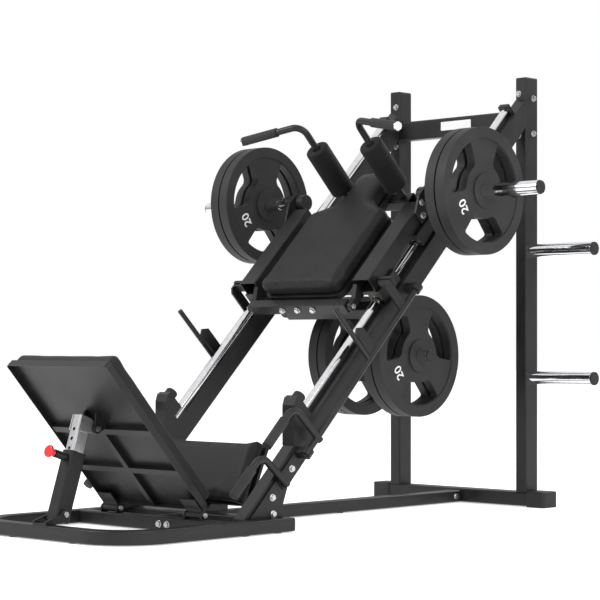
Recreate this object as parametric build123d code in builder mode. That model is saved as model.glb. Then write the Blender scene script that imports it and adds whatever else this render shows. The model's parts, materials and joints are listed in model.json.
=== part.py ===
"""Plate-loaded 45 degree leg press and hack squat machine, millimetres, +Z up, front of the machine at -Y.

The origin is on the floor under the centre of the machine's outline.
"""
import os
from math import cos, radians, sin, tan

from build123d import *

os.makedirs("parts", exist_ok=True)

# ---- overall sizes ----
overall_height = 1633
rail_spacing = 635            # centre to centre of the two rails and of the two uprights
sleeve_reach = 827            # centre plane to the outer end of the upper weight sleeves
rail_angle = 45
front_reach = 502             # foot of the guide rod line to the front of the base loop

# ---- steel sections ----
wall = 3
tube_corner = 6
base_width = 800
base_tube = 50
base_tube_height = 45
loop_bend = 165               # radius of the base loop's bends on the tube's centre line
glide_height = 3
cross_depth = 75
middle_setback = 190          # foot of the guide rod line to the middle cross tube
rear_tube_height = 52
upright_width = 50
upright_depth = 75
rail_width = 50
rail_depth = 75
rail_below_rod = 19           # guide rod axis to the rail's top face
rail_closed_foot = 235        # the rails are closed up to here, along the rod line
beam_height = 75
beam_depth = 50

# ---- fits ----
running = 0.05                # radial clearance of pins, shafts and rod bearings
seated = 0.1                  # radial clearance of fixed pieces in their holes
plate_clearance = 0.4         # radial clearance of a weight plate on its sleeve
stop_gap = 0.3                # between pieces that rest on each other across a joint

# ---- guide rods, stops and levers, measured along the rod line (s) and off it (t) ----
rod_radius = 15
rod_inset = 14.5              # guide rod axis inboard of the rail's centre
rod_top_margin = 155          # guide rod's upper end to the uprights, along the rail
rod_foot = 505
stop_top = 550
bumper_radius = 22
bumper_length = 26
bumper_proud = 60
clamp_length = 8
shaft_radius = 11
shaft_offset = 42.5           # lever shaft axis outboard of the rail's outer face
shaft_drop = -50
shaft_foot = 396
shaft_top = 1222
lever_bearings_at = (402, 1192)
bearing_length = 26
fin_thickness = 8
catch_at = 1085
catch_length = 38
lever_rod_at = 851
lever_rod_top = 196
lever_rod_radius = 9
grip_radius = 17
handle_radius = 12.5

# ---- carriage ----
carriage_foot = 1094
carriage_length = 406
side_inset = 75.5             # rail's centre to the side members' inner face
side_width = 78
side_low = 40
side_high = 100
housing_width = 60
housing_length = 116
housing_low = -12
liner_radius = 20
liner_slot = 24
bar_depth = 45
bar_length = 50
sleeve_s = 1546
sleeve_t = 92
sleeve_radius = 25
collar_radius = 30
collar_end = 376
sleeve_plate = 8
cap_thickness = 6
lower_bar_s = 1179
lower_bar_t = -128
arm_thickness = 8
lower_sleeve_s = 1219
lower_sleeve_t = -406
lower_sleeve_end = 232
post_half = 30
roller_x = 134
roller_s = 1604
roller_radius = 45
roller_low = 92
roller_length = 208
handle_top = 413
handle_end = (384, 1533, 420)

# ---- back pad ----
pad_hinge_s = 1023
pad_hinge_t = 40
hinge_bar_gap = 6             # hinge bar's end to the side members
pad_board_low = 42
pad_board_thickness = 22
pad_thickness = 52
pad_side_gap = 42             # back pad's edge to the side members
pad_foot = 1046
pad_shoulder = 1457
pad_neck = 1522
pad_head_half = 85
pad_head_top = 1690

# ---- weight plates ----
plate_radius = 225
plate_hub = 46
plate_rim = 40
plate_web = 34
plate_pitch = 47
hub_radius = 60
rim_inner = 186
window_inner = 98
window_outer = 182
spoke_root = 12
spoke_tip = 97
spoke_angle = 90
upper_stack_start = 490
lower_stack_start = 88

# ---- tilting foot board, measured from its hinge: along the board (b) and off it (m) ----
board_hinge_y = -15           # from the foot of the guide rod line
board_hinge_z = 62
board_angle = 48.5
board_half = 250
board_low = 12
board_length = 632
tray_base = 10
tray_depth = 25
tray_skin = 4
tray_rib = 24
board_ribs = (177, 353)
board_pad_thickness = 45
hinge_pin_radius = 6
barrel_radius = 12
barrel_span = (172, 244)
lug_thickness = 6
board_pivot_b = 390
board_pivot_m = -12

# ---- adjusting strut ----
strut_foot_y = -415           # from the foot of the guide rod line
strut_foot_z = 78
strut_angle = 72
strut_width = 50
strut_depth = 60
inner_width = 40
inner_depth = 50
strut_top = 205
inner_foot = 75
inner_over_pivot = 28
tab_thickness = 4
pivot_slot_radius = 9
pull_pin_at = 180
hole_pitch = 32
pull_pin_radius = 5
barrel_length = 48
knob_radius = 20
knob_stem = 10

# ---- seat and grips at the foot of the rails ----
seat_half = 226
seat_length = 232
seat_angle = 66
seat_foot = (171, 91)
seat_thickness = 50
seat_board = 12

# ---- storage pegs ----
peg_heights = (974, 491)
peg_length = 285
peg_cap = 8

# ---- fasteners ----
bolt_across = 17
bolt_head = 7
washer_radius = 12
washer_thickness = 2

# ---- places worked out from the sizes above ----
cu, su = cos(radians(rail_angle)), sin(radians(rail_angle))
foot_cap_wall = 8
rear_half = cross_depth / 2 + foot_cap_wall
rod_rise = overall_height - 20
rail_run = rod_rise / tan(radians(rail_angle))
overall_length = front_reach + rail_run + rear_half
rail_y = front_reach - overall_length / 2             # where the guide rod line meets the floor
upright_y = overall_length / 2 - rear_half
base_top = glide_height + base_tube_height
rear_top = glide_height + rear_tube_height
rail_x = rail_spacing / 2
rail_inner = rail_x - rail_width / 2
rail_outer = rail_x + rail_width / 2
rod_x = rail_x - rod_inset
side_inner = rail_x - side_inset
side_outer = side_inner + side_width
hinge_bar_half = side_inner - hinge_bar_gap
pad_half = side_inner - pad_side_gap
shaft_x = rail_outer + shaft_offset
rod_top = rail_run / cu - rod_top_margin
carriage_top = carriage_foot + carriage_length
pad_back = pad_board_low + pad_board_thickness

pieces = {}


def rail_point(x, s, t):
    return Vector(x, rail_y + s * cu - t * su, s * su + t * cu)


def rail_side(x):
    """Sketch plane in (s, t) at one x, extruding towards +X."""
    return Plane(origin=(x, rail_y, 0), x_dir=(0, cu, su), z_dir=(1, 0, 0))


def rail_deck(t):
    """Sketch plane in (x, s) at one height off the rods, extruding away from the rails."""
    return Plane(origin=rail_point(0, 0, t), x_dir=(1, 0, 0), z_dir=(0, -su, cu))


def rail_cross(s):
    """Sketch plane in (x, t) across the rails, extruding up the rails with a negative amount."""
    return Plane(origin=rail_point(0, s, 0), x_dir=(1, 0, 0), z_dir=(0, -cu, -su))


def world_side(x):
    """Sketch plane in (y, z) at one x, extruding towards +X."""
    return Plane(origin=(x, 0, 0), x_dir=(0, 1, 0), z_dir=(1, 0, 0))


def tube_section(width, height):
    RectangleRounded(width, height, tube_corner)
    RectangleRounded(width - 2 * wall, height - 2 * wall, tube_corner - wall, mode=Mode.SUBTRACT)


def tube_outer(width, height):
    RectangleRounded(width - 2 * wall - 2 * seated, height - 2 * wall - 2 * seated, tube_corner - wall)


def hex_heads(plane, points):
    with BuildSketch(plane) as washers:
        with Locations(*points):
            Circle(washer_radius)
    extrude(washers.sketch, amount=washer_thickness)
    with BuildSketch(plane.offset(washer_thickness)) as heads:
        with Locations(*points):
            RegularPolygon(bolt_across / 2, 6, major_radius=False)
    extrude(heads.sketch, amount=bolt_head)


# ================= base =================
loop_x = (base_width - base_tube) / 2
loop_front = -overall_length / 2 + base_tube / 2
loop_end = rail_y + 253
loop_z = glide_height + base_tube_height / 2

with BuildPart() as base_loop:
    with BuildLine(Plane.XY.offset(loop_z)) as loop_path:
        FilletPolyline((-loop_x, loop_end), (-loop_x, loop_front), (loop_x, loop_front), (loop_x, loop_end),
                       radius=loop_bend)
    with BuildSketch(Plane(origin=(-loop_x, loop_end, loop_z), x_dir=(1, 0, 0), z_dir=(0, -1, 0))):
        tube_section(base_tube, base_tube_height)
    sweep(path=loop_path.wires()[0])
pieces["base_loop"] = base_loop

cross_half = loop_x - base_tube / 2
hinge_y = rail_y + board_hinge_y
front_cross_y = hinge_y
with BuildPart() as base_cross_front:
    with BuildSketch(Plane.YZ.offset(-cross_half)):
        with Locations((front_cross_y, loop_z)):
            tube_section(base_tube, base_tube_height)
    extrude(amount=2 * cross_half)
pieces["base_cross_front"] = base_cross_front

middle_y = rail_y + middle_setback
with BuildPart() as base_cross_middle:
    with BuildSketch(Plane.YZ.offset(-cross_half)):
        with Locations((middle_y, loop_z)):
            tube_section(cross_depth, base_tube_height)
    extrude(amount=2 * cross_half)
pieces["base_cross_middle"] = base_cross_middle

spine_runs = [(front_cross_y + base_tube / 2, middle_y - cross_depth / 2),
              (middle_y + cross_depth / 2, upright_y - cross_depth / 2)]
with BuildPart() as base_spine:
    for start, end in spine_runs:
        with BuildSketch(Plane(origin=(0, start, loop_z), x_dir=(-1, 0, 0), z_dir=(0, 1, 0))):
            tube_section(base_tube, base_tube_height)
        extrude(amount=end - start)
pieces["base_spine"] = base_spine

foot_outer = rail_outer + 88
foot_inner = rail_outer + 1
rear_half_width = foot_outer - foot_cap_wall
rear_z = glide_height + rear_tube_height / 2
with BuildPart() as rear_cross_tube:
    with BuildSketch(Plane.YZ.offset(-rear_half_width)):
        with Locations((upright_y, rear_z)):
            tube_section(cross_depth, rear_tube_height)
    extrude(amount=2 * rear_half_width)
pieces["rear_cross_tube"] = rear_cross_tube

foot_cap_height = rear_top + foot_cap_wall - glide_height
with BuildPart() as rear_foot_caps:
    with BuildSketch(Plane.XY):
        with Locations(((foot_inner + foot_outer) / 2, upright_y)):
            RectangleRounded(foot_outer - foot_inner, 2 * rear_half, 14)
    extrude(amount=foot_cap_height)
    fillet(rear_foot_caps.faces().sort_by(Axis.Z)[-1].edges(), radius=4)
    with BuildSketch(Plane.YZ.offset(foot_inner)):
        with Locations((upright_y, rear_z)):
            RectangleRounded(cross_depth + 2 * seated, rear_tube_height + 2 * seated, tube_corner)
    extrude(amount=rear_half_width + seated - foot_inner, mode=Mode.SUBTRACT)
    mirror(about=Plane.YZ)
pieces["rear_foot_caps"] = rear_foot_caps

glide_radius = 16
glide_places = [(side * loop_x, y) for side in (-1, 1) for y in (loop_end - 60, hinge_y + 60)]
glide_places += [(side * 150, loop_front) for side in (-1, 1)] + [(0, rail_y + 900)]
with BuildPart() as floor_glides:
    with BuildSketch(Plane.XY):
        with Locations(*glide_places):
            Circle(glide_radius)
    extrude(amount=glide_height)
pieces["floor_glides"] = floor_glides

# ================= uprights, top beam and pegs =================
end_cap = 4
upright_top = overall_height - end_cap
with BuildPart() as uprights:
    with BuildSketch(Plane.XY.offset(rear_top)):
        with Locations((-rail_x, upright_y), (rail_x, upright_y)):
            tube_section(upright_width, upright_depth)
    extrude(amount=upright_top - rear_top)
pieces["uprights"] = uprights

plug_depth = 18
with BuildPart() as tube_end_caps:
    with BuildSketch(Plane.XY.offset(upright_top)):
        with Locations((-rail_x, upright_y), (rail_x, upright_y)):
            RectangleRounded(upright_width, upright_depth, tube_corner)
    extrude(amount=end_cap, taper=20)
    with BuildSketch(Plane.XY.offset(upright_top)):
        with Locations((-rail_x, upright_y), (rail_x, upright_y)):
            tube_outer(upright_width, upright_depth)
    extrude(amount=-plug_depth)
    with BuildSketch(Plane(origin=(0, loop_end, loop_z), x_dir=(-1, 0, 0), z_dir=(0, 1, 0))) as loop_caps:
        with Locations((-loop_x, 0), (loop_x, 0)):
            RectangleRounded(base_tube, base_tube_height, tube_corner)
    extrude(amount=end_cap, taper=20)
    with BuildSketch(loop_caps.workplanes[0]):
        with Locations((-loop_x, 0), (loop_x, 0)):
            tube_outer(base_tube, base_tube_height)
    extrude(amount=-plug_depth)
pieces["tube_end_caps"] = tube_end_caps

upright_front = upright_y - upright_depth / 2
beam_drop = 124               # machine's top to the beam's top face
beam_y = upright_front + beam_depth / 2
beam_z = overall_height - beam_drop - beam_height / 2
with BuildPart() as top_crossbeam:
    with BuildSketch(Plane.YZ.offset(-rail_inner)):
        with Locations((beam_y, beam_z)):
            tube_section(beam_depth, beam_height)
    extrude(amount=2 * rail_inner)
pieces["top_crossbeam"] = top_crossbeam

badge_width, badge_height, badge_thickness = 150, 34, 2
badge_plane = Plane(origin=(0, upright_front, beam_z + 5), x_dir=(1, 0, 0), z_dir=(0, -1, 0))
with BuildPart() as badge_plate:
    with BuildSketch(badge_plane):
        RectangleRounded(badge_width, badge_height, 3)
    extrude(amount=badge_thickness)
pieces["badge_plate"] = badge_plate

with BuildPart() as storage_pegs:
    with BuildSketch(Plane.YZ.offset(rail_outer)):
        with Locations(*[(upright_y, z) for z in peg_heights]):
            Circle(sleeve_radius)
    extrude(amount=peg_length)
    mirror(about=Plane.YZ)
pieces["storage_pegs"] = storage_pegs

peg_end = rail_outer + peg_length
with BuildPart() as peg_caps:
    with BuildSketch(Plane.YZ.offset(peg_end)):
        with Locations(*[(upright_y, z) for z in peg_heights]):
            Circle(sleeve_radius)
    extrude(amount=peg_cap)
    fillet(peg_caps.faces().sort_by(Axis.X)[-2:].edges(), radius=2)
    mirror(about=Plane.YZ)
pieces["peg_caps"] = peg_caps

# ================= rails, rods and stops =================
rail_t_top, rail_t_low = -rail_below_rod, -rail_below_rod - rail_depth
def s_at(run, t):
    """Distance along the rails of the point t off the rods that lies run behind the rod line's foot."""
    return (run + t * su) / cu


with BuildPart() as rails:
    with BuildSketch(rail_side(rail_inner)):
        with BuildLine():
            upright_run = upright_front - rail_y
            Polyline((base_top / su - rail_t_top, rail_t_top), (s_at(upright_run, rail_t_top), rail_t_top),
                     (s_at(upright_run, rail_t_low), rail_t_low), (base_top / su - rail_t_low, rail_t_low), close=True)
        make_face()
    extrude(amount=rail_width)
    with BuildSketch(rail_side(rail_inner + wall)):
        with Locations((rail_closed_foot + overall_length, (rail_t_top + rail_t_low) / 2)):
            Rectangle(2 * overall_length, rail_depth - 2 * wall)
    extrude(amount=rail_width - 2 * wall, mode=Mode.SUBTRACT)
    mirror(about=Plane.YZ)
pieces["rails"] = rails

plate_thickness = cross_half - rail_outer
plate_holes = ((350, -59), (221, -59), (185, -100))
with BuildPart() as rail_foot_plates:
    with BuildSketch(rail_side(rail_outer)):
        with BuildLine():
            Polyline((395, rail_t_low + 8), (395, -34), (107, -34), (75, -66), (181, -172), (240, -113),
                     (300, rail_t_low + 8), close=True)
        make_face()
    extrude(amount=plate_thickness)
    with BuildSketch(world_side(rail_outer)):
        with Locations((rail_y, -overall_height / 2)):
            Rectangle(2 * overall_length, overall_height + 2 * glide_height)
    extrude(amount=plate_thickness, mode=Mode.SUBTRACT)
    with BuildSketch(world_side(rail_outer)):
        with Locations((middle_y, 0)):
            Rectangle(cross_depth + 2 * seated, 2 * (base_top + seated))
    extrude(amount=plate_thickness, mode=Mode.SUBTRACT)
    mirror(about=Plane.YZ)
pieces["rail_foot_plates"] = rail_foot_plates

with BuildPart() as guide_rods:
    with BuildSketch(rail_cross(rod_foot)):
        with Locations((-rod_x, 0), (rod_x, 0)):
            Circle(rod_radius)
    extrude(amount=rod_foot - rod_top)
    chamfer(guide_rods.edges().filter_by(GeomType.CIRCLE), length=1.5)
pieces["guide_rods"] = guide_rods

with BuildPart() as rod_clamps:
    with BuildSketch(rail_cross(rod_top - clamp_length)):
        with Locations((rod_x, (rail_t_top + rod_radius + 8) / 2)):
            RectangleRounded(2 * rod_radius + 16, rod_radius + 8 - rail_t_top, 4)
        with Locations((rod_x, 0)):
            Circle(rod_radius + seated, mode=Mode.SUBTRACT)
    extrude(amount=-clamp_length - 8)
    mirror(about=Plane.YZ)
pieces["rod_clamps"] = rod_clamps

block_half = 28
with BuildPart() as stop_blocks:
    with BuildSketch(rail_side(rail_x - block_half)):
        with BuildLine():
            Polyline((stop_top - 134, rail_t_top), (stop_top - 39, rail_t_top + 95), (stop_top - 15, 88),
                     (stop_top, 84), (stop_top, rail_t_top), close=True)
        make_face()
    extrude(amount=2 * block_half)
    with BuildSketch(rail_cross(stop_top)):
        with Locations((rod_x, 0)):
            Circle(rod_radius + seated)
    extrude(amount=stop_top - rod_foot + 1, mode=Mode.SUBTRACT)
    mirror(about=Plane.YZ)
pieces["stop_blocks"] = stop_blocks

with BuildPart() as stop_bumpers:
    with BuildSketch(rail_cross(stop_top)):
        with Locations((rail_x, bumper_proud)):
            Circle(bumper_radius)
    extrude(amount=-bumper_length)
    fillet(stop_bumpers.edges().filter_by(GeomType.CIRCLE).sort_by(Axis.Z)[-1], radius=5)
    mirror(about=Plane.YZ)
pieces["stop_bumpers"] = stop_bumpers

# ================= seat at the foot of the rails =================
cs, ss = cos(radians(seat_angle)), sin(radians(seat_angle))
seat_plane = Plane(origin=(0, rail_y + seat_foot[0], seat_foot[1]), x_dir=(0, cs, ss), z_dir=(1, 0, 0))


def seat_slab(start, depth, margin=0.0):
    """A slab behind the seat's front face, from start to start + depth behind it."""
    with BuildSketch(seat_plane.offset(-(seat_half - margin))) as slab:
        with Locations((seat_length / 2, -start - depth / 2)):
            Rectangle(seat_length - 2 * margin, depth)
    extrude(slab.sketch, amount=2 * (seat_half - margin))


with BuildPart() as seat_pad:
    seat_slab(0, seat_thickness)
    fillet(seat_pad.edges(), radius=16)
pieces["seat_pad"] = seat_pad

board_margin = 8
post_top_l = 140
with BuildPart() as seat_frame:
    seat_slab(seat_thickness, seat_board, board_margin)
    back = seat_thickness + seat_board
    post_back_y = middle_y + 120
    with BuildSketch(world_side(-base_tube / 2)):
        with BuildLine():
            low = seat_plane.from_local_coords(Vector(18, -back, 0))
            high = seat_plane.from_local_coords(Vector(post_top_l, -back, 0))
            Polyline((low.Y, low.Z), (high.Y, high.Z), (post_back_y, high.Z - 25), (post_back_y, base_top),
                     (middle_y + 15, base_top), close=True)
        make_face()
    extrude(amount=base_tube)
pieces["seat_frame"] = seat_frame

seat_grip_x = cross_half + handle_radius
seat_bar_leg, seat_bar_t, seat_bar_end = 290, 86, 96
with BuildPart() as seat_handles:
    with BuildLine() as bar_path:
        FilletPolyline(rail_point(seat_grip_x, seat_bar_leg, -72), rail_point(seat_grip_x, seat_bar_leg - 12, seat_bar_t),
                       rail_point(seat_grip_x, seat_bar_end + 4, seat_bar_t), radius=40)
    with BuildSketch(Plane(origin=bar_path.line @ 0, z_dir=bar_path.line % 0)):
        Circle(handle_radius)
        Circle(handle_radius - 2.5, mode=Mode.SUBTRACT)
    sweep(path=bar_path.wires()[0])
    with BuildSketch(rail_side(cross_half)):
        with Locations((seat_bar_leg, -60)):
            RectangleRounded(34, 40, 4)
    extrude(amount=4)
    mirror(about=Plane.YZ)
pieces["seat_handles"] = seat_handles

grip_length = 118


def grip_on(x, s_end, t, length):
    """A closed-end grip on a bar that runs along the rail, its end at s_end."""
    with BuildSketch(rail_cross(s_end)) as outside:
        with Locations((x, t)):
            Circle(grip_radius)
    extrude(outside.sketch, amount=-length)
    with BuildSketch(rail_cross(s_end + length)) as bore:
        with Locations((x, t)):
            Circle(handle_radius + seated)
    extrude(bore.sketch, amount=length - 4 + seated, mode=Mode.SUBTRACT)


with BuildPart() as seat_handle_grips:
    grip_on(seat_grip_x, seat_bar_end, seat_bar_t, grip_length)
    mirror(about=Plane.YZ)
pieces["seat_handle_grips"] = seat_handle_grips

# ================= safety catch levers =================
with BuildPart() as lever_bearings:
    for foot in lever_bearings_at:
        with BuildSketch(rail_cross(foot)):
            with Locations(((rail_outer + shaft_x) / 2, shaft_drop)):
                Rectangle(shaft_x - rail_outer, 30)
            with Locations((shaft_x, shaft_drop)):
                Circle(shaft_radius + 8)
                Circle(shaft_radius + running, mode=Mode.SUBTRACT)
        extrude(amount=-bearing_length)
    mirror(about=Plane.YZ)
pieces["lever_bearings"] = lever_bearings

fin_low, fin_high = 862, 905
lever_leg, lever_grip_t, lever_grip_end = 486, 106, 300
catch_high = 72
pawl_low = 44
pawl_reach = 50


def catch_lever(side):
    x = side * shaft_x
    inner_face = x - fin_thickness / 2
    with BuildPart() as lever:
        with BuildSketch(rail_cross(shaft_foot)):
            with Locations((x, shaft_drop)):
                Circle(shaft_radius)
        extrude(amount=shaft_foot - shaft_top)
        with BuildSketch(rail_side(inner_face)):
            with BuildLine():
                Polyline((fin_low, shaft_drop), (fin_low, 60), (fin_low + 20, 72), (fin_high, 52),
                         (fin_high, shaft_drop), close=True)
            make_face()
            with BuildLine():
                Polyline((catch_at, shaft_drop), (catch_at, catch_high - 16), (catch_at + 14, catch_high),
                         (catch_at + catch_length, catch_high), (catch_at + catch_length, shaft_drop), close=True)
            make_face()
        extrude(amount=fin_thickness)
        with BuildSketch(rail_cross(catch_at + catch_length)):
            with Locations((x - side * pawl_reach / 2, (pawl_low + catch_high) / 2)):
                Rectangle(pawl_reach, catch_high - pawl_low)
        extrude(amount=14)
        with BuildSketch(rail_deck(shaft_drop)):
            with Locations((x, lever_rod_at)):
                Circle(lever_rod_radius)
        extrude(amount=lever_rod_top - shaft_drop)
        with BuildLine() as grip_path:
            FilletPolyline(rail_point(x, lever_leg, shaft_drop - 16), rail_point(x, lever_leg - 6, lever_grip_t),
                           rail_point(x, lever_grip_end + 4, lever_grip_t), radius=40)
        with BuildSketch(Plane(origin=grip_path.line @ 0, z_dir=grip_path.line % 0)):
            Circle(handle_radius)
        sweep(path=grip_path.wires()[0])
    return lever


def lever_grip(side):
    with BuildPart() as grip:
        grip_on(side * shaft_x, lever_grip_end, lever_grip_t, grip_length)
    return grip


for name, side in (("left", -1), ("right", 1)):
    pieces[f"catch_lever_{name}"] = catch_lever(side)
    pieces[f"lever_grip_{name}"] = lever_grip(side)

# ================= carriage =================
with BuildPart() as carriage_sides:
    with BuildSketch(rail_cross(carriage_foot)):
        with Locations(((side_inner + side_outer) / 2, (side_low + side_high) / 2)):
            tube_section(side_width, side_high - side_low)
    extrude(amount=-carriage_length)
    lug_foot = catch_at + catch_length + stop_gap
    with BuildSketch(rail_cross(lug_foot)):
        with Locations(((side_outer + shaft_x + 6) / 2, (pawl_low + catch_high) / 2)):
            Rectangle(shaft_x + 6 - side_outer, catch_high - pawl_low + 8)
    extrude(amount=-12)
    ear_inner = hinge_bar_half + 1
    with BuildSketch(rail_side(ear_inner)):
        with BuildLine():
            Polyline((pad_hinge_s, pad_hinge_t - 14), (carriage_foot, pad_hinge_t - 14), (carriage_foot, side_high - 20),
                     (pad_hinge_s + 30, pad_hinge_t + 14), (pad_hinge_s, pad_hinge_t + 14), close=True)
        make_face()
        with Locations((pad_hinge_s, pad_hinge_t)):
            Circle(14)
            Circle(hinge_pin_radius + seated, mode=Mode.SUBTRACT)
    extrude(amount=side_inner + 14 - ear_inner)
    mirror(about=Plane.YZ)
pieces["carriage_sides"] = carriage_sides

housing_feet = (carriage_foot, carriage_top - housing_length)
housing_inner = rod_x - housing_width / 2
with BuildPart() as bearing_housings:
    for foot in housing_feet:
        with BuildSketch(rail_cross(foot)):
            with Locations((rod_x, (housing_low + side_low) / 2)):
                Rectangle(housing_width, side_low - housing_low)
            with Locations((rod_x, 0)):
                Circle(liner_radius + seated, mode=Mode.SUBTRACT)
            with Locations((rod_x, -liner_radius)):
                Rectangle(liner_slot, 2 * liner_radius, mode=Mode.SUBTRACT)
        extrude(amount=-housing_length)
    mirror(about=Plane.YZ)
pieces["bearing_housings"] = bearing_housings

with BuildPart() as rod_bearings:
    for foot in housing_feet:
        with BuildSketch(rail_cross(foot + 4)):
            with Locations((rod_x, 0)):
                Circle(liner_radius)
                Circle(rod_radius + running, mode=Mode.SUBTRACT)
            with Locations((rod_x, -liner_radius)):
                Rectangle(liner_slot, 2 * liner_radius, mode=Mode.SUBTRACT)
        extrude(amount=8 - housing_length)
    mirror(about=Plane.YZ)
pieces["rod_bearings"] = rod_bearings

bar_feet = (carriage_foot + 30, carriage_top - 30 - bar_length)
roller_bar_half = roller_x + 36
with BuildPart() as carriage_crossbars:
    with BuildSketch(rail_side(-housing_inner)):
        with Locations(*[(foot + bar_length / 2, side_low - bar_depth / 2) for foot in bar_feet]):
            tube_section(bar_length, bar_depth)
    extrude(amount=2 * housing_inner)
    with BuildSketch(rail_side(-roller_bar_half)):
        with Locations((roller_s, side_low - bar_depth / 2)):
            tube_section(bar_length, bar_depth)
    extrude(amount=2 * roller_bar_half)
    neck_foot = bar_feet[1] + bar_length
    with BuildSketch(rail_cross(neck_foot)):
        with Locations((0, side_low - bar_depth / 2)):
            tube_section(2 * post_half, bar_depth)
    extrude(amount=neck_foot - roller_s + bar_length / 2)
pieces["carriage_crossbars"] = carriage_crossbars

plate_outline = ((1440, side_low + 4), (1440, 96), (1500, 130), (1562, 130), (1590, 104), (1590, 70), (1560, side_low + 4))
with BuildPart() as sleeve_brackets:
    with BuildSketch(rail_side(side_outer)):
        with BuildLine():
            Polyline(*plate_outline, close=True)
        make_face()
    extrude(amount=sleeve_plate)
    with BuildSketch(rail_side(rod_x - 18)):
        with Locations((sleeve_s, sleeve_t)):
            Circle(collar_radius)
    extrude(amount=side_outer - rod_x + 18)
    with BuildSketch(rail_side(side_outer + sleeve_plate)):
        with Locations((sleeve_s, sleeve_t)):
            Circle(collar_radius)
    extrude(amount=collar_end - side_outer - sleeve_plate)
    mirror(about=Plane.YZ)
pieces["sleeve_brackets"] = sleeve_brackets

sleeve_cap_start = sleeve_reach - cap_thickness
lower_cap_start = lower_sleeve_end - cap_thickness
with BuildPart() as weight_sleeves:
    with BuildSketch(rail_side(collar_end)):
        with Locations((sleeve_s, sleeve_t)):
            Circle(sleeve_radius)
    extrude(amount=sleeve_cap_start - collar_end)
    for radius, end in ((collar_radius + 5, post_half + 16), (sleeve_radius, lower_cap_start)):
        with BuildSketch(rail_side(post_half)):
            with Locations((lower_sleeve_s, lower_sleeve_t)):
                Circle(radius)
        extrude(amount=end - post_half)
    mirror(about=Plane.YZ)
pieces["weight_sleeves"] = weight_sleeves

with BuildPart() as lower_hanger:
    with BuildSketch(rail_side(housing_inner + 4)):
        with BuildLine():
            Polyline((lower_bar_s - 26, housing_low), (lower_bar_s - 26, lower_bar_t), (lower_bar_s, lower_bar_t - 26),
                     (lower_bar_s + 26, lower_bar_t), (lower_bar_s + 26, housing_low), close=True)
        make_face()
    extrude(amount=arm_thickness)
    with BuildSketch(rail_side(housing_inner + 4 + arm_thickness)):
        with Locations((lower_bar_s, lower_bar_t)):
            Circle(sleeve_radius)
    extrude(amount=14)
    mirror(about=Plane.YZ)
    with BuildSketch(rail_side(-housing_inner - 4)):
        with Locations((lower_bar_s, lower_bar_t)):
            RectangleRounded(bar_length, bar_length, tube_corner)
            RectangleRounded(bar_length - 2 * wall, bar_length - 2 * wall, wall, mode=Mode.SUBTRACT)
    extrude(amount=2 * housing_inner + 8)
    post_low = lower_sleeve_t - post_half
    with BuildSketch(rail_side(-post_half)):
        with BuildLine():
            Polyline((lower_bar_s - 25, lower_bar_t - 25), (lower_bar_s + 25, lower_bar_t - 25),
                     (lower_sleeve_s + post_half, lower_sleeve_t + 20), (lower_sleeve_s + post_half, post_low),
                     (lower_sleeve_s - post_half, post_low), (lower_sleeve_s - post_half, lower_sleeve_t + 20), close=True)
        make_face()
        offset(amount=-wall, kind=Kind.INTERSECTION, mode=Mode.SUBTRACT)
    extrude(amount=2 * post_half)
    for x in (-post_half, post_half - wall):
        with BuildSketch(rail_side(x)):
            with BuildLine():
                Polyline((lower_bar_s - 25, lower_bar_t - 25), (lower_bar_s + 25, lower_bar_t - 25),
                         (lower_sleeve_s + post_half, lower_sleeve_t + 20), (lower_sleeve_s + post_half, post_low),
                         (lower_sleeve_s - post_half, post_low), (lower_sleeve_s - post_half, lower_sleeve_t + 20),
                         close=True)
            make_face()
        extrude(amount=wall)
pieces["lower_hanger"] = lower_hanger

with BuildPart() as sleeve_caps:
    for start, s, t in ((sleeve_cap_start, sleeve_s, sleeve_t), (lower_cap_start, lower_sleeve_s, lower_sleeve_t)):
        with BuildSketch(rail_side(start)):
            with Locations((s, t)):
                Circle(sleeve_radius)
        extrude(amount=cap_thickness, taper=25)
    mirror(about=Plane.YZ)
pieces["sleeve_caps"] = sleeve_caps

handle_bend = 45
with BuildPart() as shoulder_handles:
    with BuildLine() as handle_path:
        FilletPolyline(rail_point(roller_x, roller_s, side_low), rail_point(roller_x, roller_s, handle_top),
                       rail_point(*handle_end), radius=handle_bend)
    with BuildSketch(Plane(origin=handle_path.line @ 0, z_dir=handle_path.line % 0)):
        Circle(handle_radius)
    sweep(path=handle_path.wires()[0])
    mirror(about=Plane.YZ)
pieces["shoulder_handles"] = shoulder_handles

post_start = rail_point(roller_x, roller_s, side_low)
post_corner = rail_point(roller_x, roller_s, handle_top)
post_run = (post_corner - post_start).normalized()
roller_plane = Plane(origin=post_start + post_run * (roller_low - side_low), z_dir=post_run)
with BuildPart() as shoulder_rollers:
    with BuildSketch(roller_plane):
        Circle(roller_radius)
        Circle(handle_radius + seated, mode=Mode.SUBTRACT)
    extrude(amount=roller_length)
    outer_rims = shoulder_rollers.edges().filter_by(GeomType.CIRCLE).group_by(SortBy.RADIUS)[-1]
    fillet(outer_rims, radius=7)
    mirror(about=Plane.YZ)
pieces["shoulder_rollers"] = shoulder_rollers

grip_dir = (rail_point(*handle_end) - post_corner).normalized()
hand_grip_length = 150
grip_plane = Plane(origin=rail_point(*handle_end) - grip_dir * (hand_grip_length + 2), z_dir=grip_dir)
with BuildPart() as handle_grips:
    with BuildSketch(grip_plane):
        Circle(grip_radius)
        Circle(handle_radius + seated, mode=Mode.SUBTRACT)
    extrude(amount=hand_grip_length)
    mirror(about=Plane.YZ)
pieces["handle_grips"] = handle_grips

with BuildPart() as handle_end_caps:
    with BuildSketch(Plane(origin=rail_point(*handle_end), z_dir=grip_dir)):
        Circle(grip_radius)
    extrude(amount=5, taper=20)
    mirror(about=Plane.YZ)
pieces["handle_end_caps"] = handle_end_caps

# ================= back pad =================
shoulder_round, neck_round, corner_round = 40, 26, 45


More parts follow.
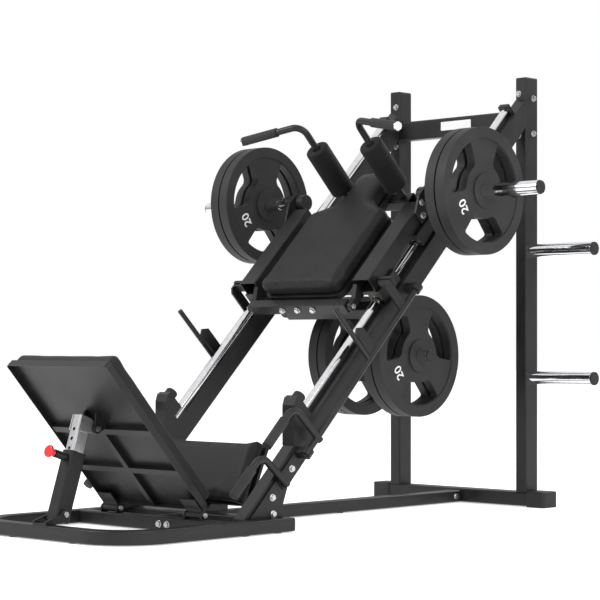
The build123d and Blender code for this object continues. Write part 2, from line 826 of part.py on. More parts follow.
def pad_outline(margin):
    half, head = pad_half - margin, pad_head_half - margin
    foot, top = pad_foot + margin, pad_head_top - margin
    with BuildLine() as outline:
        FilletPolyline((0, foot), (half, foot), (half, pad_shoulder - margin), (head, pad_neck - margin), (head, top),
                       (0, top), radius=(corner_round, shoulder_round, neck_round, corner_round))
        mirror(about=Plane.YZ)
    make_face(outline.line)


with BuildPart() as back_pad:
    with BuildSketch(rail_deck(pad_back)):
        pad_outline(0)
    extrude(amount=pad_thickness)
    fillet(back_pad.faces().sort_by(Axis((0, 0, 0), (0, -su, cu)))[-1].edges(), radius=18)
pieces["back_pad"] = back_pad

bar_low, bar_high = pad_hinge_t - 17, pad_back - 2
with BuildPart() as back_pad_board:
    with BuildSketch(rail_deck(pad_board_low)):
        pad_outline(6)
    extrude(amount=pad_board_thickness)
    with BuildSketch(rail_side(-hinge_bar_half)):
        with Locations((pad_hinge_s, (bar_low + bar_high) / 2)):
            Rectangle(34, bar_high - bar_low)
    extrude(amount=2 * hinge_bar_half)
    with BuildSketch(rail_deck(pad_board_low)):
        with Locations((0, (pad_hinge_s + pad_foot + 40) / 2)):
            Rectangle(300, pad_foot + 40 - pad_hinge_s)
    extrude(amount=6)
    with BuildSketch(rail_side(hinge_bar_half - 16)):
        with Locations((pad_hinge_s, pad_hinge_t)):
            Circle(hinge_pin_radius + running)
    extrude(amount=20, mode=Mode.SUBTRACT)
    with BuildSketch(rail_side(-hinge_bar_half - 4)):
        with Locations((pad_hinge_s, pad_hinge_t)):
            Circle(hinge_pin_radius + running)
    extrude(amount=20, mode=Mode.SUBTRACT)
pieces["back_pad_board"] = back_pad_board

with BuildPart() as carriage_bolts:
    with BuildSketch(rail_side(hinge_bar_half - 15)):
        with Locations((pad_hinge_s, pad_hinge_t)):
            Circle(hinge_pin_radius)
    extrude(amount=side_inner + 14 - hinge_bar_half + 15)
    with BuildSketch(rail_side(side_inner + 14)):
        with Locations((pad_hinge_s, pad_hinge_t)):
            RegularPolygon(bolt_across / 2, 6, major_radius=False)
    extrude(amount=bolt_head)
    hex_heads(rail_side(side_outer + sleeve_plate), [(1462, 66), (1490, 104)])
    mirror(about=Plane.YZ)
pieces["carriage_bolts"] = carriage_bolts

# ================= weight plates =================


def weight_plate(x_start, s, t):
    """One plate lying across X, its hub's inner face at x_start."""
    centre = rail_point(0, s, t)
    web_start = (plate_hub - plate_web) / 2
    rim_start = (plate_hub - plate_rim) / 2
    rings = ((sleeve_radius + plate_clearance, hub_radius, 0, plate_hub),
             (hub_radius, rim_inner, web_start, plate_web),
             (rim_inner, plate_radius, rim_start, plate_rim))
    for inner, outer, start, thickness in rings:
        with BuildSketch(Plane.YZ.offset(x_start + start)) as ring:
            with Locations((centre.Y, centre.Z)):
                Circle(outer)
                Circle(inner, mode=Mode.SUBTRACT)
        extrude(ring.sketch, amount=thickness)
    with BuildSketch(Plane.YZ.offset(x_start)) as windows:
        with Locations((centre.Y, centre.Z)):
            Circle(window_outer)
            Circle(window_inner, mode=Mode.SUBTRACT)
            with PolarLocations(0, 3, start_angle=spoke_angle):
                Polygon((0, spoke_root), (plate_radius, spoke_tip), (plate_radius, -spoke_tip), (0, -spoke_root),
                        align=None, mode=Mode.SUBTRACT)
        hub = Vector(centre.Y, centre.Z)
        window_middle = (window_inner + window_outer) / 2
        fillet(windows.vertices().filter_by(lambda v: (v.center() - hub).length < window_middle), radius=28)
        fillet(windows.vertices().filter_by(lambda v: (v.center() - hub).length > window_middle), radius=8)
    extrude(windows.sketch, amount=plate_hub, mode=Mode.SUBTRACT)


def plate_stack(side, start, s, t):
    with BuildPart() as stack:
        for index in range(2):
            inner = start + index * plate_pitch
            weight_plate(inner if side > 0 else -inner - plate_hub, s, t)
    return stack


for name, side in (("left", -1), ("right", 1)):
    pieces[f"upper_plates_{name}"] = plate_stack(side, upper_stack_start, sleeve_s, sleeve_t)
    pieces[f"lower_plates_{name}"] = plate_stack(side, lower_stack_start, lower_sleeve_s, lower_sleeve_t)

# ================= tilting foot board =================
cb, sb = cos(radians(board_angle)), sin(radians(board_angle))


def board_point(x, b, m):
    return Vector(x, hinge_y - b * cb + m * sb, board_hinge_z + b * sb + m * cb)


def board_side(x):
    """Sketch plane in (b, m) at one x, extruding towards -X."""
    return Plane(origin=(x, hinge_y, board_hinge_z), x_dir=(0, -cb, sb), z_dir=(-1, 0, 0))


def board_deck(m):
    """Sketch plane in (-x, b) at one height off the hinge, extruding towards the pad side."""
    return Plane(origin=board_point(0, 0, m), x_dir=(-1, 0, 0), z_dir=(0, sb, cb))


board_mid = board_low + board_length / 2
tray_top = tray_base + tray_depth
tray_floor = tray_top - tray_skin
ear_inside = strut_width / 2 + 2
ear_outside = ear_inside + lug_thickness
ear_low, ear_high = board_ribs[-1] + tray_rib / 2 + 4, board_pivot_b + 42
with BuildPart() as board_tray:
    with BuildSketch(board_deck(tray_base)):
        with Locations((0, board_mid)):
            RectangleRounded(2 * board_half, board_length, 12)
    extrude(amount=tray_depth)
    with BuildSketch(board_deck(tray_base)):
        with Locations((0, board_mid)):
            RectangleRounded(2 * (board_half - wall), board_length - 2 * wall, 12 - wall)
    extrude(amount=tray_depth - tray_skin, mode=Mode.SUBTRACT)
    with BuildSketch(board_deck(tray_base + 3)):
        for rib in board_ribs:
            with Locations((0, rib)):
                Rectangle(2 * board_half - 2, tray_rib)
        with Locations((0, (board_low + board_ribs[-1]) / 2)):
            Rectangle(tray_rib, board_ribs[-1] - board_low - 2)
    extrude(amount=tray_depth - 4)
    for x in (barrel_span[1], -barrel_span[0]):
        with BuildSketch(board_side(x)):
            with BuildLine():
                Polyline((0, 0), (0, barrel_radius), (18, tray_base + 2), (64, tray_base + 2), (64, 6), (24, 6), close=True)
            make_face()
            Circle(barrel_radius)
            Circle(hinge_pin_radius + running, mode=Mode.SUBTRACT)
        extrude(amount=barrel_span[1] - barrel_span[0])
    for x in (ear_outside, -ear_inside):
        with BuildSketch(board_side(x)):
            with BuildLine():
                Polyline((ear_low, tray_floor), (ear_low, tray_floor - 14), (board_pivot_b - 16, board_pivot_m),
                         (board_pivot_b + 16, board_pivot_m), (ear_high, tray_floor - 14), (ear_high, tray_floor),
                         close=True)
            make_face()
            with Locations((board_pivot_b, board_pivot_m)):
                Circle(16)
                Circle(hinge_pin_radius + seated, mode=Mode.SUBTRACT)
        extrude(amount=lug_thickness)
pieces["board_tray"] = board_tray

with BuildPart() as board_pad:
    with BuildSketch(board_deck(tray_top)):
        with Locations((0, board_mid)):
            RectangleRounded(2 * board_half, board_length, 20)
    extrude(amount=board_pad_thickness)
    fillet(board_pad.faces().sort_by(Axis((0, 0, 0), (0, sb, cb)))[-1].edges(), radius=18)
pieces["board_pad"] = board_pad

stand_gap = 0.5
stand_inner = barrel_span[0] - stand_gap - lug_thickness
stand_outer = barrel_span[1] + stand_gap
pivot = board_point(0, board_pivot_b, board_pivot_m)


def cross_bolt(y, z, half):
    """A bolt across the machine with a head on one end and a nut on the other."""
    with BuildSketch(world_side(-half - 2)) as shank:
        with Locations((y, z)):
            Circle(hinge_pin_radius)
    extrude(shank.sketch, amount=2 * half + 4)
    for x, direction in ((half, 1), (-half, -1)):
        with BuildSketch(world_side(x)) as head:
            with Locations((y, z)):
                RegularPolygon(bolt_across / 2, 6, major_radius=False)
        extrude(head.sketch, amount=direction * bolt_head)


with BuildPart() as board_pivot_bolt:
    cross_bolt(pivot.Y, pivot.Z, ear_outside)
pieces["board_pivot_bolt"] = board_pivot_bolt

bracket_plate = 6
foot_y = rail_y + strut_foot_y
with BuildPart() as base_brackets:
    for x in (stand_inner, stand_outer, -stand_inner - lug_thickness, -stand_outer - lug_thickness):
        with BuildSketch(world_side(x)):
            with Locations((hinge_y, (base_top + board_hinge_z) / 2)):
                Rectangle(2 * 14, board_hinge_z - base_top)
            with Locations((hinge_y, board_hinge_z)):
                Circle(14)
                Circle(hinge_pin_radius + seated, mode=Mode.SUBTRACT)
        extrude(amount=lug_thickness)
    for x in (-ear_outside, ear_inside):
        with BuildSketch(world_side(x)):
            with BuildLine():
                Polyline((loop_front - 18, base_top), (loop_front - 18, base_top + 12), (foot_y - 16, strut_foot_z + 2),
                         (foot_y + 12, strut_foot_z - 10), (loop_front + 24, base_top), close=True)
            make_face()
            with Locations((foot_y, strut_foot_z)):
                Circle(16)
                Circle(hinge_pin_radius + seated, mode=Mode.SUBTRACT)
        extrude(amount=lug_thickness)
    with BuildSketch(Plane.XY.offset(base_top)):
        with Locations((0, loop_front - 4)):
            Rectangle(2 * ear_outside, 30)
    extrude(amount=bracket_plate)
pieces["base_brackets"] = base_brackets

with BuildPart() as base_pins:
    for x in (stand_inner, -stand_outer - lug_thickness):
        with BuildSketch(world_side(x - bolt_head)):
            with Locations((hinge_y, board_hinge_z)):
                Circle(hinge_pin_radius)
        extrude(amount=stand_outer + lug_thickness - stand_inner + 2 * bolt_head)
        for start in (x - bolt_head, x + stand_outer + lug_thickness - stand_inner):
            with BuildSketch(world_side(start)):
                with Locations((hinge_y, board_hinge_z)):
                    RegularPolygon(bolt_across / 2, 6, major_radius=False)
            extrude(amount=bolt_head)
    cross_bolt(foot_y, strut_foot_z, ear_outside)
pieces["base_pins"] = base_pins

# ================= adjusting strut =================
ct, st = cos(radians(strut_angle)), sin(radians(strut_angle))
pivot_along = (pivot.Y - foot_y) * ct + (pivot.Z - strut_foot_z) * st
pivot_off = (pivot.Z - strut_foot_z) * ct - (pivot.Y - foot_y) * st


def strut_side(x):
    """Sketch plane in (along the strut, towards the front) at one x, extruding towards +X."""
    return Plane(origin=(x, foot_y, strut_foot_z), x_dir=(0, ct, st), z_dir=(1, 0, 0))


def strut_section(along):
    """Sketch plane in (x, towards the front) across the strut, extruding up it."""
    return Plane(origin=(0, foot_y + along * ct, strut_foot_z + along * st), x_dir=(-1, 0, 0), z_dir=(0, ct, st))


def strut_front(along, proud):
    """Sketch plane on the strut's front side, extruding towards the front."""
    y = foot_y + along * ct - proud * st
    z = strut_foot_z + along * st + proud * ct
    return Plane(origin=(0, y, z), x_dir=(1, 0, 0), z_dir=(0, -st, ct))


strut_tail = 25
with BuildPart() as strut_outer:
    with BuildSketch(strut_section(-strut_tail)):
        tube_section(strut_width, strut_depth)
    extrude(amount=strut_top + strut_tail)
    with BuildSketch(strut_side(-strut_width)):
        Circle(hinge_pin_radius + running)
    extrude(amount=2 * strut_width, mode=Mode.SUBTRACT)
    with BuildSketch(strut_front(pull_pin_at, 0)):
        Circle(pull_pin_radius + 1)
    extrude(amount=strut_depth, mode=Mode.SUBTRACT)
pieces["strut_outer"] = strut_outer

inner_top = pivot_along + inner_over_pivot
tab_radius = pivot_slot_radius + 9
tab_foot = pivot_along - 24
with BuildPart() as strut_inner:
    with BuildSketch(strut_section(inner_foot)):
        tube_section(inner_width, inner_depth)
    extrude(amount=inner_top - inner_foot)
    for x in (inner_width / 2, -inner_width / 2 - tab_thickness):
        with BuildSketch(strut_side(x)):
            with BuildLine():
                Polyline((tab_foot, inner_depth / 2), (inner_top, inner_depth / 2), (inner_top, 0),
                         (pivot_along + tab_radius, pivot_off), (pivot_along - tab_radius, pivot_off),
                         (tab_foot, 0), close=True)
            make_face()
            with Locations((pivot_along, pivot_off)):
                Circle(tab_radius)
                Circle(pivot_slot_radius, mode=Mode.SUBTRACT)
        extrude(amount=tab_thickness)
    for index in range(-1, 4):
        with BuildSketch(strut_front(pull_pin_at + index * hole_pitch, 0)):
            Circle(pull_pin_radius + 1)
        extrude(amount=inner_depth, mode=Mode.SUBTRACT)
pieces["strut_inner"] = strut_inner

front_face = strut_depth / 2
with BuildPart() as pin_barrel:
    with BuildSketch(strut_front(pull_pin_at, front_face)):
        Circle(13)
        Circle(9, mode=Mode.SUBTRACT)
    extrude(amount=barrel_length - 5)
    with BuildSketch(strut_front(pull_pin_at, front_face + barrel_length - 5)):
        Circle(13)
        Circle(pull_pin_radius + running, mode=Mode.SUBTRACT)
    extrude(amount=5)
pieces["pin_barrel"] = pin_barrel

pin_tip = inner_depth / 2 + stop_gap
knob_start = front_face + barrel_length + 3
with BuildPart() as pull_pin:
    with BuildSketch(strut_front(pull_pin_at, pin_tip)):
        Circle(pull_pin_radius)
    extrude(amount=knob_start - pin_tip)
    with BuildSketch(strut_front(pull_pin_at, front_face + 1)):
        Circle(8)
    extrude(amount=3)
pieces["pull_pin"] = pull_pin

with BuildPart() as pull_knob:
    with BuildSketch(strut_front(pull_pin_at, knob_start)):
        Circle(knob_stem)
    extrude(amount=14)
    with BuildSketch(strut_front(pull_pin_at, knob_start + 14)):
        Circle(knob_radius)
    extrude(amount=12)
    fillet(pull_knob.edges().filter_by(GeomType.CIRCLE).group_by(SortBy.RADIUS)[-1], radius=4.5)
pieces["pull_knob"] = pull_knob

# ================= visible frame bolts =================
with BuildPart() as frame_bolts:
    joint_heights = (overall_height - 78, overall_height - 212)
    hex_heads(Plane.YZ.offset(rail_outer), [(upright_y + 8, z) for z in joint_heights])
    hex_heads(rail_side(cross_half), plate_holes)
    upright_face = Plane(origin=(0, upright_front, 0), x_dir=(1, 0, 0), z_dir=(0, -1, 0))
    hex_heads(upright_face, [(rail_x - 8, overall_height - drop) for drop in (62, 220)])
    mirror(about=Plane.YZ)
    cross_bolt_plane = Plane(origin=(0, front_cross_y - base_tube / 2, loop_z), x_dir=(1, 0, 0), z_dir=(0, -1, 0))
    hex_heads(cross_bolt_plane, [(60, 0), (100, 0)])
    hex_heads(Plane.YZ.offset(base_tube / 2), [(upright_y - cross_depth / 2 - 30, loop_z)])
pieces["frame_bolts"] = frame_bolts

with BuildPart() as pad_bolts:
    hex_heads(rail_cross(pad_hinge_s - 17), [(x, (bar_low + bar_high) / 2) for x in (-75, 0, 75)])
pieces["pad_bolts"] = pad_bolts

for name, piece in pieces.items():
    piece.part.label = name
    export_step(piece.part, f"parts/{name}.step")
print(len(pieces), "sub-parts")
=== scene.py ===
import json
from math import cos, pi, radians, sin
import bpy
from mathutils import Matrix, Vector


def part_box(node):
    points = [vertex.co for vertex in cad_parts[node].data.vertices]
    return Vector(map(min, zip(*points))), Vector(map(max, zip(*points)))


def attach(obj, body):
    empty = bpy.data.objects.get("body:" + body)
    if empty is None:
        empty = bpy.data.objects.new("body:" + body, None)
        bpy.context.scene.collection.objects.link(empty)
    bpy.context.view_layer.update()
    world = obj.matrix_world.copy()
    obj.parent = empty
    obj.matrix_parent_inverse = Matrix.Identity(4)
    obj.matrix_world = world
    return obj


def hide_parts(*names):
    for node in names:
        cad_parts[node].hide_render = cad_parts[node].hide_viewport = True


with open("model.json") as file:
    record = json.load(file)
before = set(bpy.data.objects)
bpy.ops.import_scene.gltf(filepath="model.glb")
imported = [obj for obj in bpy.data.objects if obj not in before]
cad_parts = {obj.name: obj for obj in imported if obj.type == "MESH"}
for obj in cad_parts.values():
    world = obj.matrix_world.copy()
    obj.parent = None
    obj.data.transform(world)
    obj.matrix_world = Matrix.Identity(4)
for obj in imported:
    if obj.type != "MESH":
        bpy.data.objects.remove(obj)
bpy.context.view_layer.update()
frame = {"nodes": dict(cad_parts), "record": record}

nodes = frame["nodes"]
scene = bpy.context.scene
railOut = Vector((0, -sin(radians(45)), cos(radians(45))))    # square off the rails, to the front


def newMaterial(name, color, roughness, metallic=0.0, specular=0.5):
    mat = bpy.data.materials.new(name)
    mat.use_nodes = True
    shader = mat.node_tree.nodes["Principled BSDF"]
    shader.inputs["Base Color"].default_value = (*color, 1)
    shader.inputs["Roughness"].default_value = roughness
    shader.inputs["Metallic"].default_value = metallic
    shader.inputs["Specular IOR Level"].default_value = specular
    return mat, mat.node_tree, shader


def addNode(tree, kind, **settings):
    node = tree.nodes.new(kind)
    for key, value in settings.items():
        if key in node.inputs:
            node.inputs[key].default_value = value
        else:
            setattr(node, key, value)
    return node


def objectNoise(tree, scale, detail=3.0, stretch=None):
    coords = addNode(tree, "ShaderNodeTexCoord")
    noise = addNode(tree, "ShaderNodeTexNoise", Scale=scale, Detail=detail)
    source = coords.outputs["Object"]
    if stretch:
        mapping = addNode(tree, "ShaderNodeMapping")
        mapping.inputs["Scale"].default_value = stretch
        tree.links.new(source, mapping.inputs["Vector"])
        source = mapping.outputs["Vector"]
    tree.links.new(source, noise.inputs["Vector"])
    return noise


def spread(tree, source, low, high, fromLow=0.3, fromHigh=0.7):
    ranged = addNode(tree, "ShaderNodeMapRange")
    for key, value in (("From Min", fromLow), ("From Max", fromHigh), ("To Min", low), ("To Max", high)):
        ranged.inputs[key].default_value = value
    tree.links.new(source, ranged.inputs["Value"])
    return ranged.outputs["Result"]


def colorBlend(tree, source, dark, light, low=0.3, high=0.7):
    ramp = addNode(tree, "ShaderNodeValToRGB")
    ramp.color_ramp.elements[0].position = low
    ramp.color_ramp.elements[0].color = (*dark, 1)
    ramp.color_ramp.elements[1].position = high
    ramp.color_ramp.elements[1].color = (*light, 1)
    tree.links.new(source, ramp.inputs["Fac"])
    return ramp.outputs["Color"]


def addBump(tree, shader, source, strength, distance, edge=0.0):
    bump = addNode(tree, "ShaderNodeBump", Strength=strength, Distance=distance)
    tree.links.new(source, bump.inputs["Height"])
    if edge:
        rounded = addNode(tree, "ShaderNodeBevel", samples=6, Radius=edge)
        tree.links.new(rounded.outputs["Normal"], bump.inputs["Normal"])
    tree.links.new(bump.outputs["Normal"], shader.inputs["Normal"])


def coatedSteel(name, dark, light, rough, grain, edge, gloss=0.35):
    mat, tree, shader = newMaterial(name, light, rough[0], specular=gloss)
    clouds = objectNoise(tree, 9, 4)
    tree.links.new(colorBlend(tree, clouds.outputs["Fac"], dark, light), shader.inputs["Base Color"])
    tree.links.new(spread(tree, clouds.outputs["Fac"], *rough), shader.inputs["Roughness"])
    peel = objectNoise(tree, grain, 2)
    addBump(tree, shader, peel.outputs["Fac"], 0.25, 0.0006, edge)
    return mat


def wornMetal(name, dark, light, rough, grain, stretch):
    mat, tree, shader = newMaterial(name, light, rough[0], metallic=1.0)
    marks = objectNoise(tree, grain, 3, stretch)
    tree.links.new(colorBlend(tree, marks.outputs["Fac"], dark, light), shader.inputs["Base Color"])
    tree.links.new(spread(tree, marks.outputs["Fac"], *rough), shader.inputs["Roughness"])
    addBump(tree, shader, marks.outputs["Fac"], 0.05, 0.0003, 0.0008)
    return mat


def softCover(name, dark, light, rough, cellScale, depth, sheen):
    mat, tree, shader = newMaterial(name, light, rough, specular=0.25)
    shader.inputs["Sheen Weight"].default_value = sheen
    shader.inputs["Sheen Roughness"].default_value = 0.4
    coords = addNode(tree, "ShaderNodeTexCoord")
    cells = addNode(tree, "ShaderNodeTexVoronoi", Scale=cellScale, feature="DISTANCE_TO_EDGE")
    tree.links.new(coords.outputs["Object"], cells.inputs["Vector"])
    tone = objectNoise(tree, 14, 4)
    tree.links.new(colorBlend(tree, tone.outputs["Fac"], dark, light), shader.inputs["Base Color"])
    addBump(tree, shader, cells.outputs["Distance"], depth, 0.0015)
    return mat


powderCoat = coatedSteel("powderCoat", (0.008, 0.008, 0.0085), (0.014, 0.014, 0.015), (0.34, 0.46),
                          700, 0.0016)
plateCoat = coatedSteel("plateCoat", (0.016, 0.016, 0.017), (0.026, 0.026, 0.0275), (0.48, 0.6),
                         450, 0.002, 0.3)
blackPlastic = coatedSteel("blackPlastic", (0.011, 0.011, 0.0115), (0.018, 0.018, 0.019), (0.45, 0.6),
                            900, 0.0015)
redPlastic = coatedSteel("redPlastic", (0.62, 0.02, 0.025), (0.72, 0.03, 0.035), (0.2, 0.3), 300, 0.001, 0.5)
whiteBadge = coatedSteel("whiteBadge", (0.8, 0.8, 0.8), (0.86, 0.86, 0.86), (0.25, 0.32), 300, 0.0005, 0.5)
numberPaint = coatedSteel("numberPaint", (0.7, 0.7, 0.7), (0.8, 0.8, 0.8), (0.4, 0.5), 400, 0.0)
bumperRubber = coatedSteel("bumperRubber", (0.012, 0.012, 0.012), (0.02, 0.02, 0.02), (0.6, 0.75), 500, 0.001)
chromePlate = wornMetal("chromePlate", (0.72, 0.72, 0.74), (0.84, 0.84, 0.86), (0.05, 0.11), 60, (1, 1, 1))
silverSteel = wornMetal("silverSteel", (0.48, 0.48, 0.49), (0.6, 0.6, 0.61), (0.28, 0.38), 90, (6, 1, 1))
zincBolt = wornMetal("zincBolt", (0.5, 0.5, 0.51), (0.66, 0.66, 0.67), (0.22, 0.34), 200, (1, 1, 1))
bronzeLiner = wornMetal("bronzeLiner", (0.3, 0.2, 0.1), (0.42, 0.3, 0.15), (0.3, 0.45), 120, (1, 1, 1))
padVinyl = softCover("padVinyl", (0.007, 0.007, 0.0074), (0.012, 0.012, 0.0125), 0.5, 420, 0.35, 0.03)
rollerFoam = softCover("rollerFoam", (0.004, 0.004, 0.0042), (0.007, 0.007, 0.0073), 0.72, 800, 0.3, 0.04)
gripRubber = softCover("gripRubber", (0.018, 0.018, 0.0185), (0.028, 0.028, 0.0285), 0.6, 900, 0.25, 0.03)
slotLook = {
    "black_coat": powderCoat, "chrome": chromePlate, "silver_steel": silverSteel, "zinc_bolts": zincBolt,
    "bronze_liner": bronzeLiner, "pad_vinyl": padVinyl, "roller_foam": rollerFoam, "grip_rubber": gripRubber,
    "bumper_rubber": bumperRubber, "plate_coat": plateCoat, "black_plastic": blackPlastic,
    "red_plastic": redPlastic, "white_badge": whiteBadge}


def paint(obj, mat):
    obj.data.materials.clear()
    obj.data.materials.append(mat)


slotOf = {part["node"]: part["material_slot"] for part in frame["record"]["subparts"]}
for nodeName, slotName in slotOf.items():
    for holder in nodes[nodeName].material_slots:
        holder.material = slotLook[slotName]
    if not nodes[nodeName].material_slots:
        nodes[nodeName].data.materials.append(slotLook[slotName])
print("materials done")


def selectOnly(obj):
    bpy.ops.object.select_all(action="DESELECT")
    obj.select_set(True)
    bpy.context.view_layer.objects.active = obj


def nameLast(name):
    obj = bpy.context.object
    obj.name = name
    obj.data.name = name
    return obj


def applyAll(obj):
    selectOnly(obj)
    for modifier in list(obj.modifiers):
        bpy.ops.object.modifier_apply(modifier=modifier.name)


def mergedCopy(nodeName, name):
    copy = nodes[nodeName].copy()
    copy.data = nodes[nodeName].data.copy()
    copy.parent = None
    for key in list(copy.keys()):
        del copy[key]
    scene.collection.objects.link(copy)
    copy.name = name
    copy.data.name = name
    selectOnly(copy)
    bpy.ops.object.mode_set(mode="EDIT")
    bpy.ops.mesh.select_all(action="SELECT")
    bpy.ops.mesh.remove_doubles(threshold=0.00002)
    bpy.ops.mesh.normals_make_consistent(inside=False)
    bpy.ops.object.mode_set(mode="OBJECT")
    return copy


def placeAlong(obj, centre, direction, spin=0.0):
    turn = direction.to_track_quat("Z", "Y").to_matrix().to_4x4()
    obj.matrix_world = Matrix.Translation(centre) @ turn @ Matrix.Rotation(spin, 4, "Z")
    selectOnly(obj)
    bpy.ops.object.transform_apply(location=True, rotation=True, scale=True)


def smoothBy(obj, angle):
    selectOnly(obj)
    bpy.ops.object.shade_smooth_by_angle(angle=radians(angle))


cloth = {"stiffness": 25, "frames": 20, "even": 0.5, "evenRounds": 6}


def inflatedPad(nodeName, name, body, settings):
    pad = mergedCopy(nodeName, name)
    remesh = pad.modifiers.new("blocks", "REMESH")
    remesh.mode = "VOXEL"
    remesh.voxel_size = settings["voxel"]
    applyAll(pad)
    low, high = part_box(nodeName)
    centre = (low + high) / 2
    rest = [vertex.co.copy() for vertex in pad.data.vertices]
    shrink = settings["shrink"]
    for vertex in pad.data.vertices:
        vertex.co -= vertex.normal * shrink
    start = [vertex.co.copy() for vertex in pad.data.vertices]
    puff = pad.modifiers.new("puff", "CLOTH")
    puff.settings.use_pressure = True
    puff.settings.uniform_pressure_force = settings["pressure"]
    puff.settings.effector_weights.gravity = 0
    puff.settings.tension_stiffness = cloth["stiffness"]
    puff.settings.compression_stiffness = cloth["stiffness"]
    puff.point_cache.frame_start = 1
    puff.point_cache.frame_end = cloth["frames"]
    for step in range(1, cloth["frames"] + 1):
        scene.frame_set(step)
    applyAll(pad)
    scene.frame_set(1)
    flat = settings["flatNormal"]
    for index, vertex in enumerate(pad.data.vertices):
        move = vertex.co - start[index]
        if move.length > settings["cap"]:
            move *= settings["cap"] / move.length
        inward = (rest[index] - centre).dot(flat)
        if inward < settings["flatBelow"] and move.dot(flat) < 0:
            move -= flat * move.dot(flat)
        vertex.co = start[index] + move
    selectOnly(pad)
    smooth = pad.modifiers.new("even", "SMOOTH")
    smooth.factor = cloth["even"]
    smooth.iterations = cloth["evenRounds"]
    applyAll(pad)
    fine = pad.modifiers.new("fine", "SUBSURF")
    fine.levels = 1
    fine.render_levels = 1
    applyAll(pad)
    bpy.ops.object.shade_smooth()
    paint(pad, padVinyl)
    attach(pad, body)
    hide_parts(nodeName)
    print("cushion", name, len(pad.data.polygons), "faces")
    return pad


boardTurn = radians(48.5)
boardOut = Vector((0, sin(boardTurn), cos(boardTurn)))
seatTurn = radians(66)
seatOut = Vector((0, -sin(seatTurn), cos(seatTurn)))
padSettings = {
    "back_pad": ("backPadCushion", "back_pad", {
        "voxel": 0.006, "shrink": 0.004, "pressure": 4.0, "cap": 0.011, "flatNormal": railOut, "flatBelow": 0.0,
        "fill": 0.7}),
    "seat_pad": ("seatCushion", "frame", {
        "voxel": 0.006, "shrink": 0.004, "pressure": 4.0, "cap": 0.011, "flatNormal": seatOut, "flatBelow": 0.0,
        "fill": 0.7}),
    "board_pad": ("footBoardCushion", "foot_board", {
        "voxel": 0.0065, "shrink": 0.003, "pressure": 4.0, "cap": 0.006, "flatNormal": boardOut, "flatBelow": 0.0,
        "fill": 0.9})}
for nodeName, (pieceName, bodyName, choice) in padSettings.items():
    inflatedPad(nodeName, pieceName, bodyName, choice)

foam = {"radius": 0.045, "length": 0.208, "bore": 0.0128, "edge": 0.009, "lip": 0.004, "dish": 0.006}


def foamRoller(name, centre):
    bpy.ops.object.select_all(action="DESELECT")
    bpy.ops.mesh.primitive_cylinder_add(vertices=64, radius=foam["radius"], depth=foam["length"],
                                        end_fill_type="NGON")
    roller = nameLast(name)
    bpy.ops.object.mode_set(mode="EDIT")
    bpy.ops.mesh.select_mode(type="FACE")
    bpy.ops.mesh.select_all(action="DESELECT")
    bpy.ops.object.mode_set(mode="OBJECT")
    for face in roller.data.polygons:
        face.select = abs(face.normal.z) > 0.9
    bpy.ops.object.mode_set(mode="EDIT")
    bpy.ops.mesh.inset(thickness=foam["edge"])
    bpy.ops.mesh.inset(thickness=foam["radius"] - foam["edge"] - foam["bore"] - foam["lip"])
    bpy.ops.mesh.inset(thickness=foam["lip"])
    bpy.ops.object.mode_set(mode="OBJECT")
    for face in roller.data.polygons:
        if face.select:
            for corner in face.vertices:
                vertex = roller.data.vertices[corner]
                vertex.co.z -= foam["dish"] if vertex.co.z > 0 else -foam["dish"]
    bevel = roller.modifiers.new("rim", "BEVEL")
    bevel.width = foam["edge"] * 0.9
    bevel.segments = 5
    bevel.limit_method = "ANGLE"
    bevel.angle_limit = radians(60)
    applyAll(roller)
    smoothBy(roller, 50)
    placeAlong(roller, centre, railOut)
    paint(roller, rollerFoam)
    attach(roller, "carriage")
    return roller


rollerLow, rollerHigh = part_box("shoulder_rollers")
rollerMiddle = (rollerLow + rollerHigh) / 2
rollerX = rollerHigh.x - foam["radius"]
for sideName, side in (("Left", -1), ("Right", 1)):
    piece = foamRoller("shoulderRoller" + sideName, Vector((side * rollerX, rollerMiddle.y, rollerMiddle.z)))
    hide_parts("shoulder_rollers")
print("rollers done")

# raised plate numbers, on the spoke that points down and to the front
numberLook = {"size": 0.052, "raise": 0.0008, "weight": 0.0006, "web": 0.017, "reach": 0.128,
              "spoke": radians(208), "hub": 0.023}


def plateNumber(name, body, face, centre, facing):
    bpy.ops.object.select_all(action="DESELECT")
    bpy.ops.object.text_add()
    text = bpy.context.object
    text.data.body = "20"
    text.data.align_x = "CENTER"
    text.data.align_y = "CENTER"
    text.data.size = numberLook["size"]
    text.data.extrude = numberLook["raise"]
    text.data.offset = numberLook["weight"]
    selectOnly(text)
    bpy.ops.object.convert(target="MESH")
    number = nameLast(name)
    bpy.ops.object.mode_set(mode="EDIT")
    bpy.ops.mesh.select_all(action="SELECT")
    bpy.ops.mesh.remove_doubles(threshold=0.00001)
    bpy.ops.mesh.normals_make_consistent(inside=False)
    bpy.ops.object.mode_set(mode="OBJECT")
    # the digits' tops point away from the hub
    outward = Vector((0, cos(numberLook["spoke"]), sin(numberLook["spoke"])))
    look = Vector((facing, 0, 0))
    across = outward.cross(look)
    turn = Matrix((across, outward, look)).transposed().to_4x4()
    place = Vector((face, centre.y, centre.z)) + outward * numberLook["reach"]
    number.matrix_world = Matrix.Translation(place) @ turn
    selectOnly(number)
    bpy.ops.object.transform_apply(location=True, rotation=True, scale=True)
    paint(number, numberPaint)
    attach(number, body)
    return number


for stackName in ("upper_plates_left", "upper_plates_right", "lower_plates_left", "lower_plates_right"):
    stackLow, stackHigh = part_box(stackName)
    stackMiddle = (stackLow + stackHigh) / 2
    for faceName, facing, edge in (("Plus", 1, stackHigh.x), ("Minus", -1, stackLow.x)):
        webFace = edge - facing * (numberLook["hub"] - numberLook["web"])
        plateNumber("number_" + stackName + faceName, stackName, webFace, stackMiddle, facing)
print("plate numbers done")

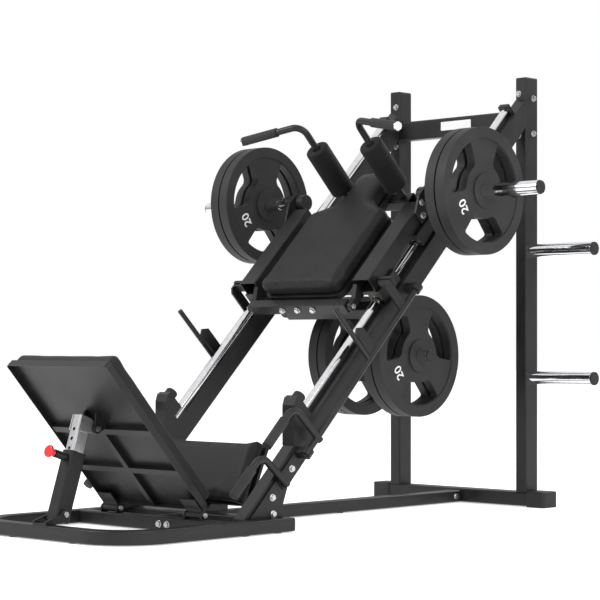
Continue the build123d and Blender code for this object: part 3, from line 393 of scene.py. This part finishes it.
bpy.ops.object.select_all(action="DESELECT")
bpy.ops.mesh.primitive_plane_add(size=60, location=(0, 0, 0))
floor = nameLast("studioFloor")
# glow, sky tones and lamp watts
studio = {"floorGlow": 0.45, "skyTop": 0.95, "skyEdge": 0.35, "key": 200, "side": 110, "back": 100}
floorPaint, floorTree, floorShader = newMaterial("floorPaint", (0.86, 0.86, 0.86), 0.9, specular=0.1)
floorShade = objectNoise(floorTree, 2, 2)
floorTree.links.new(colorBlend(floorTree, floorShade.outputs["Fac"], (0.85, 0.85, 0.85), (0.87, 0.87, 0.87)),
                    floorShader.inputs["Base Color"])
floorShader.inputs["Emission Color"].default_value = (1, 1, 1, 1)
floorShader.inputs["Emission Strength"].default_value = studio["floorGlow"]
paint(floor, floorPaint)

world = bpy.data.worlds.new("studioSky")
scene.world = world
world.use_nodes = True
# white behind the machine, and for its light and reflections a sky that is darker round the edge than above
skyTree = world.node_tree
skyBack = skyTree.nodes["Background"]
skyBack.inputs["Color"].default_value = (1, 1, 1, 1)
skyDome = addNode(skyTree, "ShaderNodeBackground", Strength=1.0)
skySplit = addNode(skyTree, "ShaderNodeSeparateXYZ")
skyTree.links.new(addNode(skyTree, "ShaderNodeTexCoord").outputs["Generated"], skySplit.inputs["Vector"])
edgeTone, topTone = (studio["skyEdge"],) * 3, (studio["skyTop"],) * 3
skyTone = colorBlend(skyTree, skySplit.outputs["Z"], edgeTone, topTone, 0.05, 0.6)
skyTree.links.new(skyTone, skyDome.inputs["Color"])
skyChoice = addNode(skyTree, "ShaderNodeMixShader")
skyTree.links.new(addNode(skyTree, "ShaderNodeLightPath").outputs["Is Camera Ray"], skyChoice.inputs["Fac"])
skyTree.links.new(skyDome.outputs["Background"], skyChoice.inputs[1])
skyTree.links.new(skyBack.outputs["Background"], skyChoice.inputs[2])
skyTree.links.new(skyChoice.outputs["Shader"], skyTree.nodes["World Output"].inputs["Surface"])


def softLight(name, place, size, power):
    bpy.ops.object.select_all(action="DESELECT")
    bpy.ops.object.light_add(type="AREA", location=place)
    lamp = nameLast(name)
    lamp.data.size = size
    lamp.data.energy = power
    lamp.rotation_euler = (Vector((0, 0, 0.7)) - Vector(place)).to_track_quat("-Z", "Y").to_euler()


softLight("keyLight", (-2.5, -4.5, 4.5), 2.5, studio["key"])
softLight("sideLight", (5.0, -1.0, 3.0), 2.5, studio["side"])
softLight("backLight", (0.5, 5.0, 4.0), 3.0, studio["back"])

viewTurn = radians(43.871)
cameraPlace = Vector((4.9159, -4.99755, 0.6267))
cameraLens, cameraShift = 118.37, 0.07
bpy.ops.object.camera_add(location=cameraPlace, rotation=(pi / 2, 0, viewTurn))
camera = nameLast("viewCamera")
camera.data.sensor_width = 36
camera.data.lens = cameraLens
camera.data.shift_y = cameraShift
scene.camera = camera
scene.view_settings.view_transform = "Standard"
print("stage done")
